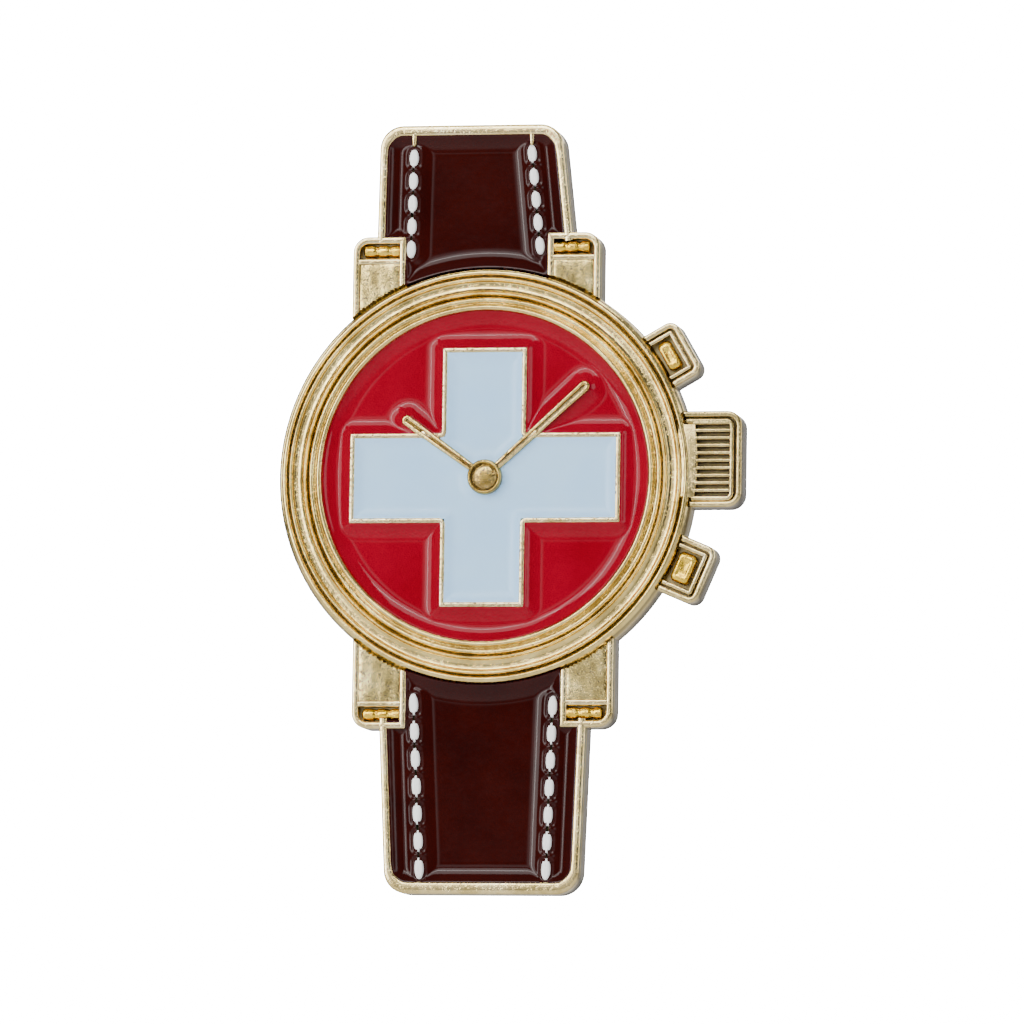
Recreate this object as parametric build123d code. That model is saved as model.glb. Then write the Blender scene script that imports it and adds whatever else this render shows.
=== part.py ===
from build123d import *
import math
import os

os.makedirs("parts", exist_ok=True)

# Soft-enamel lapel pin in the shape of a chronograph wristwatch, with two butterfly clutches.
# Units mm. +Z is 12 o'clock, +X is the wearer's left (crown side), the face looks along -Y.
# The back of the plate is y = 0, and the origin is on it behind the middle of the dial.
# Heights below are distances from the back, towards the viewer.

# ---- levels
FLOOR = 1.25        # floor of every enamel cell
RIM = 1.85          # top of the outline walls
ENAMEL = 1.66       # flat level of the baked enamel
STITCH = 1.80
HAND = 2.00
HUB = 2.15

# ---- dial and bezel
FIELD_R = 8.30      # red field
BEZEL_R = 10.58
RIM_W = 0.44        # outline wall round the strap ends
END_UP = 0.12       # extra width of that wall across the upper end
END_LOW = 0.18      # and across the lower end
WALL = 0.26         # outline wall round the cross

# ---- strap ends (x, z)
STRAP_UP = [(-5.25, 12.10), (-5.18, 17.20), (3.26, 17.20), (3.84, 12.10)]
NECK_UP = [(-4.12, 9.40), (-4.29, 12.30), (3.06, 12.30), (3.02, 9.40)]
STRAP_LOW = [(-4.74, -12.45), (-4.35, -20.35), (4.64, -20.35), (4.90, -12.45)]
NECK_LOW = [(-3.84, -9.40), (-3.84, -12.60), (4.06, -12.60), (3.96, -9.40)]
STRAP_CORNER = 0.75

# ---- lugs: outer x, inner x, end z
LUGS = {
    "up_left": (-6.92, -4.22, 12.12),
    "up_right": (5.74, 3.04, 12.26),
    "low_left": (-6.60, -3.84, -12.72),
    "low_right": (6.70, 4.02, -12.64),
}
LUG_WALL = 0.36
LUG_CORNER = 0.80

# ---- cross
CROSS_X = (-6.90, 6.92)
CROSS_Z = (-6.62, 6.46)
ARM_X = (-2.22, 2.10)
ARM_Z = (-2.39, 2.15)

# ---- hands, cast as part of the plate
HUB_C = (0.04, -0.09)
HUB_RING_R = 0.89
HOUR_TIP = (-3.97, 2.78)
HOUR_W = (0.36, 0.56)      # width at the hub, at the tip
MINUTE_TIP = (5.03, 4.44)
MINUTE_W = (0.38, 0.59)

# ---- stitches: first centre, last centre, count, length
STITCH_W = 0.47
STITCHES = {
    "upper_left": ((-3.88, 16.09), (-3.95, 11.48), 5, 0.92),
    "upper_right": ((2.17, 16.25), (2.64, 11.60), 5, 0.92),
    "lower_left": ((-3.44, -11.48), (-3.02, -19.70), 7, 1.10),
    "lower_right": ((3.64, -11.60), (3.42, -19.72), 7, 1.10),
}

# ---- crown and pushers
CROWN_X = (9.40, 13.04)
CROWN_Z = (-1.64, 3.18)
CROWN_CORNER = 0.75
CROWN_GROOVES = 10
GROOVE_PITCH = 0.376
GROOVE_W = 0.17
# direction angle, outer distance, tangential limits
PUSHERS = [(30.0, 12.18, -1.00, 2.02), (-22.9, 12.48, -1.90, 1.15)]
# raised blocks in them: outward and tangential limits
BLOCKS = [((10.86, 11.42), (-0.20, 1.22)), ((10.98, 11.72), (-1.12, 0.38))]

# ---- posts and clutches on the back
POST_Z = 6.70
POST_R = 0.50
SHANK_R = 0.70
SHANK_END = 1.40
POST_END = 8.00
FLANGE_R = 1.40
FLANGE_H = 0.35
CLUTCH_Y = 1.50     # inner face of the cup at rest: the cloth gap
CUP_R = 5.75
HOLE_R = 0.84
SLOT_R = 0.72
CUP_T = 0.40
CUP_H = 1.60
LIP_R = 4.85
CLIP_R = 5.10
CLIP_T = 0.35
LEAF_T = 0.32
HINGE_X = 3.40
HINGE_Y = 1.18
TONGUE_W = 2.00
WING_W = 4.60
WINDOW_W = 2.50


def slab(sketch, low, high):
    """Extrude a face drawn in (x, z) between two heights above the back."""
    return extrude(Plane.XZ.offset(low) * sketch, amount=high - low)


def poly(points):
    return make_face(Polyline(*points, close=True))


def rect(x, z):
    return poly([(x[0], z[0]), (x[1], z[0]), (x[1], z[1]), (x[0], z[1])])


def rounded(points, radius, picks):
    face = poly(points)
    corners = [face.vertices().sort_by_distance((points[i][0], points[i][1], 0))[0] for i in picks]
    return fillet(corners, radius)


def grown(face, amount):
    return offset(face, amount=amount, kind=Kind.ARC if amount > 0 else Kind.INTERSECTION)


def hand(tip, widths):
    """Tapered bar from the hub to a round tip."""
    dx, dz = tip[0] - HUB_C[0], tip[1] - HUB_C[1]
    size = math.hypot(dx, dz)
    nx, nz = -dz / size, dx / size
    a, b = widths[0] / 2, widths[1] / 2
    bar = poly([
        (HUB_C[0] + nx * a, HUB_C[1] + nz * a), (tip[0] + nx * b, tip[1] + nz * b),
        (tip[0] - nx * b, tip[1] - nz * b), (HUB_C[0] - nx * a, HUB_C[1] - nz * a)])
    return bar + Pos(tip[0], tip[1]) * Circle(b + 0.01)


def channel(tip, width, start):
    """Fine groove along the middle of a hand, from `start` mm off the hub."""
    dx, dz = tip[0] - HUB_C[0], tip[1] - HUB_C[1]
    size = math.hypot(dx, dz)
    mid = (start + size) / 2
    turn = math.degrees(math.atan2(dz, dx))
    at = Pos(HUB_C[0] + dx / size * mid, HUB_C[1] + dz / size * mid) * Rot(0, 0, turn)
    return at * SlotOverall(size - start + width, width)


# ---------------------------------------------------------------- outlines
strap_up = rounded(STRAP_UP, STRAP_CORNER, (1, 2)) + poly(NECK_UP)
strap_low = rounded(STRAP_LOW, STRAP_CORNER, (1, 2)) + poly(NECK_LOW)
long_up = [STRAP_UP[0], *((x, z + END_UP) for x, z in STRAP_UP[1:3]), STRAP_UP[3]]
long_low = [STRAP_LOW[0], *((x, z - END_LOW) for x, z in STRAP_LOW[1:3]), STRAP_LOW[3]]
rim_up = grown(rounded(long_up, STRAP_CORNER, (1, 2)), RIM_W) + poly(NECK_UP)
rim_low = grown(rounded(long_low, STRAP_CORNER, (1, 2)), RIM_W) + poly(NECK_LOW)


def lug_outline(spec):
    outer, inner, end = spec
    base = math.copysign(7.6, end)
    face = poly([(outer, base), (outer, end), (inner, end), (inner, base)])
    corner = face.vertices().sort_by_distance((outer, end, 0))[0]
    return fillet(corner, LUG_CORNER)


lugs = {name: lug_outline(spec) for name, spec in LUGS.items()}

crown = rect(CROWN_X, CROWN_Z)
crown = fillet(crown.vertices().sort_by(Axis.X)[-2:], CROWN_CORNER)


def pusher_outline(spec, inset=0.0):
    angle, out, low, high = spec
    face = rect((9.2, out - inset), (low + inset, high - inset))
    radius = max(0.55 - inset, 0.12)
    face = fillet(face.vertices().sort_by(Axis.X)[-2:], radius)
    return Rot(0, 0, angle) * face


disc = Circle(BEZEL_R)
outline = disc + rim_up + rim_low + crown
for face in lugs.values():
    outline += face
for spec in PUSHERS:
    outline += pusher_outline(spec)

# ---------------------------------------------------------------- the dial of the casting
# bezel: turned profile of beads and one wide hollow band (radius, height)
BEZEL = [
    (FIELD_R, 1.86), (8.38, 1.98), (8.48, 2.02), (8.58, 1.96), (8.68, 1.78),
    (8.76, 1.84), (8.87, 1.88), (8.97, 1.82), (9.05, 1.68), (9.11, 1.92), (9.18, 2.02),
    (9.26, 1.92), (9.40, 1.78), (9.60, 1.70), (9.76, 1.78), (9.85, 1.91), (9.93, 1.94),
    (10.00, 1.86), (10.07, 1.66), (10.14, 1.80), (10.22, 1.87), (10.33, 1.84), (10.46, 1.72),
    (BEZEL_R, 1.52)]
turned_profile = [(0, 0), (0, FLOOR), (FIELD_R, FLOOR)] + BEZEL + [(BEZEL_R, 0)]
profile = make_face(Polyline(*[(r, -h, 0) for r, h in turned_profile], close=True))
dial = revolve(profile, axis=Axis.Y)

# cross outline, hub and hands stand in the dial
cross = rect(CROSS_X, ARM_Z) + rect(ARM_X, CROSS_Z)
cross_cell = rect((CROSS_X[0] + WALL, CROSS_X[1] - WALL), (ARM_Z[0] + WALL, ARM_Z[1] - WALL))
cross_cell += rect((ARM_X[0] + WALL, ARM_X[1] - WALL), (CROSS_Z[0] + WALL, CROSS_Z[1] - WALL))
hub_at = Pos(*HUB_C)
hub = hub_at * Circle(HUB_RING_R)
hands = hand(HOUR_TIP, HOUR_W) + hand(MINUTE_TIP, MINUTE_W) + hub
relief = (cross - cross_cell) + hands
grooves = channel(HOUR_TIP, 0.15, 1.30) + channel(MINUTE_TIP, 0.16, 1.30)
dial_relief = slab(relief, FLOOR - 0.05, RIM)
dial_relief += slab(hands - grooves, RIM, HAND)
dial_relief += slab(hub, HAND, HUB)
dial_relief -= slab(hub_at * (Circle(0.72) - Circle(0.58)), HUB - 0.30, HUB + 0.1)
dial += dial_relief

# ---------------------------------------------------------------- the rest of the casting
# lug hollows: a long one next to the bezel, and an end slot with a raised bar in it
shallow = []
deep = []
bars = []
for name, (outer, inner, end) in LUGS.items():
    side = math.copysign(1, outer)
    up = math.copysign(1, end)
    x_out = outer - side * LUG_WALL
    x_in = inner + side * 0.34
    split = end - up * 1.32
    long_face = rect(sorted((x_out, x_in)), sorted((split - up * 0.20, math.copysign(7.6, end))))
    shallow.append(long_face - Circle(BEZEL_R + 0.14))
    slot = rect(sorted((x_out, x_in)), sorted((end - up * 0.34, split + up * 0.12)))
    slot = fillet(slot.vertices().sort_by_distance((outer, end, 0))[0], 0.38)
    mid = (end - up * 0.34 + split + up * 0.12) / 2
    bar = rect(sorted((x_out - side * 0.42, x_in + side * 0.10)), (mid - 0.26, mid + 0.26))
    deep.append(slot - bar)
    bars.append(bar)

# crown: ten grooves and a fine line inside the outer edge
for i in range(CROWN_GROOVES):
    z = 2.40 - i * GROOVE_PITCH
    bulge = 0.16 * (1 - ((i - 4.5) / 4.5) ** 2)
    groove = rect((10.68 + bulge, 12.24 + bulge), (z - GROOVE_W / 2, z + GROOVE_W / 2))
    shallow.append(groove)
crown_line = (offset(crown, amount=-0.30) - offset(crown, amount=-0.41)) & rect((10.68, 13.2), (-1.20, 3.2))
shallow.append(crown_line)

# pushers: fine line, inner rim, hollow and a square block
for spec, (block_u, block_t) in zip(PUSHERS, BLOCKS):
    angle = spec[0]
    keep = Rot(0, 0, angle) * rect((10.74, 13.0), (-3, 3))
    shallow.append((pusher_outline(spec, 0.32) - pusher_outline(spec, 0.43)) & keep)
    block = Rot(0, 0, angle) * rect(block_u, block_t)
    deep.append((pusher_outline(spec, 0.62) & keep) - block)
    bars.append(block)

inside = Circle(BEZEL_R)
cells = strap_up + strap_low
solid_part = outline - inside
raised_part = solid_part - cells
for x in (-3.88, 2.15):
    # metal stub joining the top rim to the first upper stitch
    raised_part += rect((x - 0.13, x + 0.13), (16.72, 17.40))
for face in deep:
    raised_part -= face
top_part = raised_part
for face in shallow + bars:
    top_part -= face
frame_body = slab(solid_part, 0, FLOOR)
frame_body += slab(raised_part, FLOOR, RIM - 0.32)
frame_body += slab(top_part, RIM - 0.32, RIM)
for bar in bars:
    frame_body += slab(bar, RIM - 0.32, RIM - 0.10)
plate = dial + frame_body
cell_up = strap_up - Circle(BEZEL_R)
cell_low = strap_low - Circle(BEZEL_R)

# ---------------------------------------------------------------- stitches
stitch_sets = {}
for name, (first, last, count, size) in STITCHES.items():
    turn = math.degrees(math.atan2(last[1] - first[1], last[0] - first[0]))
    faces = []
    for i in range(count):
        t = i / (count - 1)
        x = first[0] + (last[0] - first[0]) * t
        z = first[1] + (last[1] - first[1]) * t
        faces.append(Pos(x, z) * Rot(0, 0, turn) * SlotOverall(size, STITCH_W))
    solids = []
    for face in faces:
        oval = slab(face, FLOOR, STITCH)
        top = oval.faces().sort_by(Axis.Y)[0]
        oval = fillet(top.edges(), 0.14)
        solids.append((oval - plate).solids().sort_by(SortBy.VOLUME)[-1])
    stitch_sets[name] = solids

# ---------------------------------------------------------------- enamel
all_stitches = [s for group in stitch_sets.values() for s in group]


def fill(face, cutters):
    body = slab(face, FLOOR, ENAMEL)
    for cutter in cutters:
        body -= cutter
    return body.solids().sort_by(SortBy.VOLUME)


upper_enamel = fill(cell_up, [plate] + stitch_sets["upper_left"] + stitch_sets["upper_right"])[-1]
lower_enamel = fill(cell_low, [plate] + stitch_sets["lower_left"] + stitch_sets["lower_right"])[-1]
red_enamel = fill(Circle(FIELD_R) - cross, [plate])[-1]
white_cells = fill(cross_cell, [plate])
white_low = white_cells[-1]
white_top = white_cells[-2]

# ---------------------------------------------------------------- posts


def turned(points, z):
    """Revolve an (r, y) profile about the post axis at height z."""
    face = make_face(Polyline(*[(r, y, 0) for r, y in points], close=True))
    return Pos(0, 0, z) * revolve(face, axis=Axis.Y)


def post(z):
    return turned([
        (0, 0), (POST_R, 0), (POST_R, FLANGE_H), (SHANK_R, FLANGE_H), (SHANK_R, SHANK_END),
        (POST_R, SHANK_END), (POST_R, 5.70),
        (0.38, 5.85), (0.38, 6.05), (POST_R, 6.20), (POST_R, 6.70), (0.12, 7.90), (0, POST_END)], z)


def flange(z):
    return turned([
        (POST_R, 0), (FLANGE_R, 0), (FLANGE_R, 0.14), (1.15, FLANGE_H - 0.06),
        (0.85, FLANGE_H), (POST_R, FLANGE_H)], z)


# ---------------------------------------------------------------- butterfly clutch


def cup(z):
    """Stamped cup with a rolled-in lip that holds the spring clip."""
    y = CLUTCH_Y
    return turned([
        (HOLE_R, y), (5.45, y), (CUP_R, y + 0.25), (CUP_R, y + CUP_H - 0.2),
        (CUP_R - 0.2, y + CUP_H), (LIP_R, y + CUP_H), (LIP_R, y + CUP_H - 0.3),
        (CUP_R - 0.45, y + CUP_H - 0.4), (CUP_R - 0.45, y + CUP_T), (HOLE_R, y + CUP_T)], z)


def clip_base(z):
    """Round base of the spring clip with two ears per side that carry the folds."""
    y = CLUTCH_Y + CUP_T + 0.06
    base = slab(Pos(0, z) * (Circle(CLIP_R) - Circle(HOLE_R)), -(y + CLIP_T), -y)
    for sx in (-1, 1):
        for sz in (-1, 1):
            ear_x = sorted((sx * (HINGE_X - 0.35), sx * (HINGE_X + 0.35)))
            ear_z = sorted((z + sz * (WING_W / 2 + 0.10), z + sz * (WING_W / 2 + 0.42)))
            base += slab(rect(ear_x, ear_z), -(CLUTCH_Y + HINGE_Y + 0.35), -(y + CLIP_T / 2))
    return base


def leaf_profile(side):
    """Side view (x, y) of one leaf: fold, crossing run, rise, flared wing."""
    y = CLUTCH_Y
    line = [
        (-side * HINGE_X, y + HINGE_Y), (-side * 2.30, y + 1.30), (side * 0.90, y + 2.05),
        (side * 2.30, y + 3.05), (side * 4.25, y + 4.18), (side * 5.15, y + 4.30)]
    return line


def strip(line, width, z):
    """Bent strip of even thickness along a polyline in the x-y plane."""
    pieces = None
    for (x1, y1), (x2, y2) in zip(line[:-1], line[1:]):
        size = math.hypot(x2 - x1, y2 - y1)
        turn = math.degrees(math.atan2(y2 - y1, x2 - x1))
        box = Box(size, LEAF_T, width)
        box = Pos((x1 + x2) / 2, (y1 + y2) / 2, z) * Rot(0, 0, turn) * box
        knee = Pos(x2, y2, z) * Cylinder(LEAF_T / 2, width)
        pieces = box + knee if pieces is None else pieces + box + knee
    return pieces


def knuckle(side, width, z):
    return Pos(-side * HINGE_X, CLUTCH_Y + HINGE_Y, z) * Cylinder(LEAF_T / 2 + 0.05, width)


def wing_plan(side, z):
    """Plan of a leaf with a rounded wing tip, used to trim the strip."""
    face = rect(sorted((-side * 4.2, side * 5.22)), (z - WING_W / 2, z + WING_W / 2))
    tips = face.vertices().sort_by(Axis.X)
    tips = tips[-2:] if side > 0 else tips[:2]
    return slab(fillet(tips, 1.30), -(CLUTCH_Y + 6.0), -CLUTCH_Y)


def tongue_leaf(z):
    """Leaf folded at the left: its narrow tongue passes the other leaf's window."""
    line = leaf_profile(1)
    leaf = strip(line[:4], TONGUE_W, z) + strip(line[3:], WING_W, z) + knuckle(1, WING_W, z)
    leaf = leaf & wing_plan(1, z)
    slot = Pos(0, CLUTCH_Y + 2, z) * Rot(90, 0, 0) * extrude(SlotOverall(2.30, 2 * SLOT_R), 3, both=True)
    return leaf - slot


def window_leaf(z):
    """Leaf folded at the right, with a wide window round the tongue and the post."""
    line = leaf_profile(-1)
    leaf = (strip(line, WING_W, z) + knuckle(-1, WING_W, z)) & wing_plan(-1, z)
    window = Pos(0.10, CLUTCH_Y + 2, z) * Box(4.70, 6, WINDOW_W)
    return leaf - window


# ---------------------------------------------------------------- write the nodes


def save(name, shape):
    export_step(shape, "parts/" + name + ".step")


save("badge_plate", plate.solids().sort_by(SortBy.VOLUME)[-1])
save("dial_red_enamel", red_enamel)
save("cross_white_enamel_top", white_top)
save("cross_white_enamel_low", white_low)
save("strap_enamel_upper", upper_enamel)
save("strap_enamel_lower", lower_enamel)
for name, solids in stitch_sets.items():
    save("stitches_" + name, Compound(children=solids))
for name, z in (("upper", POST_Z), ("lower", -POST_Z)):
    save(name + "_post", post(z).solids()[0])
    save(name + "_post_flange", flange(z).solids()[0])
    save(name + "_clutch_cup", cup(z).solids()[0])
    save(name + "_clutch_clip", clip_base(z).solids().sort_by(SortBy.VOLUME)[-1])
    save(name + "_clutch_tongue_wing", tongue_leaf(z).solids().sort_by(SortBy.VOLUME)[-1])
    save(name + "_clutch_window_wing", window_leaf(z).solids().sort_by(SortBy.VOLUME)[-1])
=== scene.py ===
import math

import bmesh
import bpy
import numpy as np
from mathutils import Matrix, Vector


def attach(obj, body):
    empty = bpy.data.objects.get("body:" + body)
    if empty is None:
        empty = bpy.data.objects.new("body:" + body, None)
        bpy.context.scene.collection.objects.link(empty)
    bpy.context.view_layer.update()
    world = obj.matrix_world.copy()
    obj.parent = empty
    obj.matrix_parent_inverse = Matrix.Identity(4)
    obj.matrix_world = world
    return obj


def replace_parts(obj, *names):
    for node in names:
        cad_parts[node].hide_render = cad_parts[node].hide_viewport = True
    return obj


# Looks for a soft-enamel lapel pin shaped like a wristwatch. Lengths in this file are in
# millimetres, x to the right and z up over the face, and h is the height above the flat back,
# so a point is (x, -h, z). mesh_object() turns them into metres.

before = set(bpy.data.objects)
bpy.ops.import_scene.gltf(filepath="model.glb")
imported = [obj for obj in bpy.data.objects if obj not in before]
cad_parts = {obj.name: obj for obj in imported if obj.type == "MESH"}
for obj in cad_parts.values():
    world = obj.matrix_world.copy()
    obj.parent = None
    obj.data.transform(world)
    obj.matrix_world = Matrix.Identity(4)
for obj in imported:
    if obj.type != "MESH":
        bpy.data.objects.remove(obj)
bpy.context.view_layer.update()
MM = 0.001

# ------------------------------------------------------------------ dimensions, as in the CAD
FLOOR = 1.25              # bottom of the enamel cells
RIM = 1.85                # top of the outline walls
HAND = 2.00               # top of the hands
HUB = 2.15                # top of the hub
ROOT = FLOOR - 0.1        # raised metal starts here, sunk into the slab
BACK = 0.02               # the side walls stop just short of the slab's back
BACK_ROUND = 0.10         # round between a side wall and the back
FIELD_R = 8.30            # inner edge of the bezel
BEZEL_R = 10.58           # outer edge of the bezel
COVER_R = BEZEL_R - 0.03  # inside this radius the bezel hides what is lower than it
RIM_W = 0.44              # strap rim
END_UP = 0.12             # more rim across the upper end, and across the lower end
END_LOW = 0.18
WALL = 0.26               # cross outline
STRAP_UP = [(-5.25, 12.10), (-5.18, 17.20), (3.26, 17.20), (3.84, 12.10)]
NECK_UP = [(-4.12, 9.40), (-4.29, 12.30), (3.06, 12.30), (3.02, 9.40)]
STRAP_LOW = [(-4.74, -12.45), (-4.35, -20.35), (4.64, -20.35), (4.90, -12.45)]
NECK_LOW = [(-3.84, -9.40), (-3.84, -12.60), (4.06, -12.60), (3.96, -9.40)]
STRAP_CORNER = 0.75
LUGS = {  # outer x, inner x, end z
    "up_left": (-6.92, -4.22, 12.12),
    "up_right": (5.74, 3.04, 12.26),
    "low_left": (-6.60, -3.84, -12.72),
    "low_right": (6.70, 4.02, -12.64),
}
LUG_WALL = 0.36
LUG_INNER_WALL = 0.34
LUG_CORNER = 0.80
LUG_ROOT = 7.9            # the lugs start here, under the bezel
LUG_SLOT = 1.26           # from a lug's end to the ridge between its two hollows
CROSS_X = (-6.90, 6.92)
CROSS_Z = (-6.62, 6.46)
ARM_X = (-2.22, 2.10)
ARM_Z = (-2.39, 2.15)
CROSS_LINE = [
    (ARM_X[0], CROSS_Z[0]), (ARM_X[1], CROSS_Z[0]), (ARM_X[1], ARM_Z[0]), (CROSS_X[1], ARM_Z[0]),
    (CROSS_X[1], ARM_Z[1]), (ARM_X[1], ARM_Z[1]), (ARM_X[1], CROSS_Z[1]), (ARM_X[0], CROSS_Z[1]),
    (ARM_X[0], ARM_Z[1]), (CROSS_X[0], ARM_Z[1]), (CROSS_X[0], ARM_Z[0]), (ARM_X[0], ARM_Z[0])]
HUB_C = np.array((0.04, -0.09))
HUB_R = 0.89
HOUR_TIP = np.array((-3.97, 2.78))
HOUR_W = (0.36, 0.56)
MINUTE_TIP = np.array((5.03, 4.44))
MINUTE_W = (0.38, 0.59)
STITCH_W = 0.47
STITCHES = {  # middle of the first and the last stitch, their number, the length of one
    "upper_left": ((-3.88, 16.09), (-3.95, 11.48), 5, 0.92),
    "upper_right": ((2.17, 16.25), (2.64, 11.60), 5, 0.92),
    "lower_left": ((-3.44, -11.48), (-3.02, -19.70), 7, 1.10),
    "lower_right": ((3.64, -11.60), (3.42, -19.72), 7, 1.10),
}
STITCH_TOP = 1.80
CROWN_X = (9.40, 13.04)
CROWN_Z = (-1.64, 3.18)
CROWN_CORNER = 0.75
CROWN_RIBS = 11
CROWN_PITCH = 0.376
CROWN_TOP_GROOVE = 2.40
PUSHERS = [(30.0, 12.18, -1.00, 2.02), (-22.9, 12.48, -1.90, 1.15)]  # angle, outer end, two sides
BLOCKS = [((10.70, 11.42), (-0.24, 1.30)), ((10.70, 11.68), (-1.14, 0.42))]
PUSHER_START = 9.6
POST_Z = 6.70
CLUTCH_Y = 1.50


# ------------------------------------------------------------------ mesh helpers
WELD = 0.0004             # points nearer than this are one point
SLIVER = 0.0002           # edges shorter than this are removed


def mesh_object(name, points, faces, smooth_angle=40.0):
    """Object from (x, y, z) points in mm; faces are lists of indices."""
    mesh = bpy.data.meshes.new(name)
    mesh.from_pydata([(x * MM, y * MM, z * MM) for x, y, z in points], [], faces)
    bm = bmesh.new()
    bm.from_mesh(mesh)
    bmesh.ops.remove_doubles(bm, verts=bm.verts, dist=WELD * MM)
    bmesh.ops.dissolve_degenerate(bm, edges=bm.edges, dist=SLIVER * MM)
    bmesh.ops.recalc_face_normals(bm, faces=bm.faces)
    bm.to_mesh(mesh)
    bm.free()
    obj = bpy.data.objects.new(name, mesh)
    bpy.context.scene.collection.objects.link(obj)
    shade(obj, smooth_angle)
    return obj


def shade(obj, angle):
    """Smooth shading with sharp edges where faces meet at more than angle degrees."""
    mesh = obj.data
    mesh.polygons.foreach_set("use_smooth", [True] * len(mesh.polygons))
    mesh.set_sharp_from_angle(angle=math.radians(angle))


def join(name, parts):
    """One mesh object from several, which keeps their sharp edges."""
    for part in bpy.context.selected_objects:
        part.select_set(False)
    for part in parts:
        part.select_set(True)
    bpy.context.view_layer.objects.active = parts[0]
    bpy.ops.object.join()
    parts[0].name = name
    parts[0].data.name = name
    return parts[0]


def grid_faces(rows, cols, wrap_rows=False, wrap_cols=False):
    """Quads over a rows x cols lattice of points stored row by row."""
    faces = []
    for r in range(rows if wrap_rows else rows - 1):
        r2 = (r + 1) % rows
        for c in range(cols if wrap_cols else cols - 1):
            c2 = (c + 1) % cols
            faces.append((r * cols + c, r * cols + c2, r2 * cols + c2, r2 * cols + c))
    return faces


def capped_faces(rings, sides, low_first=True):
    """Quads over a stack of closed rings, with a face across each end."""
    low = tuple(reversed(range(sides)))
    high = tuple(range((rings - 1) * sides, rings * sides))
    return grid_faces(rings, sides, False, True) + ([low, high] if low_first else [high, low])


def border_edges(faces):
    """Edges (from, to) that only one of the faces has."""
    edges = dict.fromkeys(edge for face in faces for edge in zip(face, face[1:] + face[:1]))
    return [(a, b) for a, b in edges if (b, a) not in edges]


def arc_corner(before, corner, after, radius, steps):
    """Points of a fillet at a polygon corner."""
    p, c, q = (np.array(v, float) for v in (before, corner, after))
    u = (p - c) / np.linalg.norm(p - c)
    v = (q - c) / np.linalg.norm(q - c)
    half = math.acos(np.clip(u @ v, -1, 1)) / 2
    back = radius / math.tan(half)
    mid = (u + v) / np.linalg.norm(u + v)
    centre = c + mid * radius / math.sin(half)
    start, end = c + u * back, c + v * back
    a0 = math.atan2(*(start - centre)[::-1])
    a1 = math.atan2(*(end - centre)[::-1])
    turn = (a1 - a0 + math.pi) % (2 * math.pi) - math.pi
    angles = [a0 + turn * i / steps for i in range(steps + 1)]
    return [centre + radius * np.array((math.cos(a), math.sin(a))) for a in angles]


def rounded_polygon(points, radii, steps):
    """Closed outline with a fillet of radii[i] at corner i (0 keeps it sharp)."""
    out = []
    n = len(points)
    for i, point in enumerate(points):
        if radii[i] > 0:
            out += arc_corner(points[i - 1], point, points[(i + 1) % n], radii[i], steps)
        else:
            out.append(np.array(point, float))
    return np.array(out)


def runs_anticlockwise(path):
    return (path[:, 0] * np.roll(path[:, 1], -1) - np.roll(path[:, 0], -1) * path[:, 1]).sum() > 0


def anticlockwise(path):
    path = np.array(path, float)
    return path if runs_anticlockwise(path) else path[::-1]


def offset_polygon(points, distance):
    """Sharp polygon with every side moved outwards by distance."""
    pts = np.array(points, float)
    sign = 1 if runs_anticlockwise(pts) else -1
    out = []
    n = len(pts)
    for i in range(n):
        a, b, c = pts[i - 1], pts[i], pts[(i + 1) % n]
        u = (b - a) / np.linalg.norm(b - a)
        v = (c - b) / np.linalg.norm(c - b)
        nu = sign * np.array((u[1], -u[0]))
        nv = sign * np.array((v[1], -v[0]))
        mid = nu + nv
        out.append(tuple(b + mid * distance / (mid @ nu)))
    return out


def resample(path, step, closed):
    """Add points on long runs so that no step is longer than `step`."""
    out = []
    n = len(path)
    for i in range(n if closed else n - 1):
        a, b = path[i], path[(i + 1) % n]
        count = max(1, int(math.ceil(np.linalg.norm(b - a) / step)))
        for k in range(count):
            out.append(a + (b - a) * k / count)
    if not closed:
        out.append(path[-1])
    return np.array(out)


def fine_outline(path, step=0.06):
    return resample(anticlockwise(path), step, True)


def inward(path, closed, least):
    """At each point, the vector to the left of the path that insets both its runs by 1.

    least limits how far a sharp corner reaches.
    """
    nxt = np.roll(path, -1, 0) - path
    prv = path - np.roll(path, 1, 0)
    if not closed:
        nxt[-1] = prv[-1]
        prv[0] = nxt[0]
    nxt /= np.linalg.norm(nxt, axis=1)[:, None]
    prv /= np.linalg.norm(prv, axis=1)[:, None]
    before = np.c_[-prv[:, 1], prv[:, 0]]
    mid = before + np.c_[-nxt[:, 1], nxt[:, 0]]
    return mid / np.maximum((mid * before).sum(1), least)[:, None]


def under_bezel(x, z, height, dip):
    """The height, or at most dip where the bezel covers the point."""
    return min(height, dip) if math.hypot(x, z) < COVER_R else height


def ribbon(name, path, profile, closed=True, dip=math.inf, widen=1.0):
    """Sweep a closed profile of (inset, height) along an outline in the face plane.

    The path runs anticlockwise for a positive inset to point inwards. Inside the bezel's
    edge no point is higher than dip, so that the bezel covers it. widen stretches the
    insets, at each point if it is an array.
    """
    path = np.array(path, float)
    mid = inward(path, closed, 0.35) * np.reshape(widen, (-1, 1))
    points = []
    for p, m in zip(path, mid):
        for inset, height in profile:
            q = p + m * inset
            points.append((q[0], -under_bezel(*q, height, dip), q[1]))
    n, k = len(path), len(profile)
    faces = grid_faces(n, k, wrap_rows=closed, wrap_cols=True)
    if not closed:
        faces.append(tuple(range(k)))
        faces.append(tuple(reversed(range((n - 1) * k, n * k))))
    return mesh_object(name, points, faces, 50.0)


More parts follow.
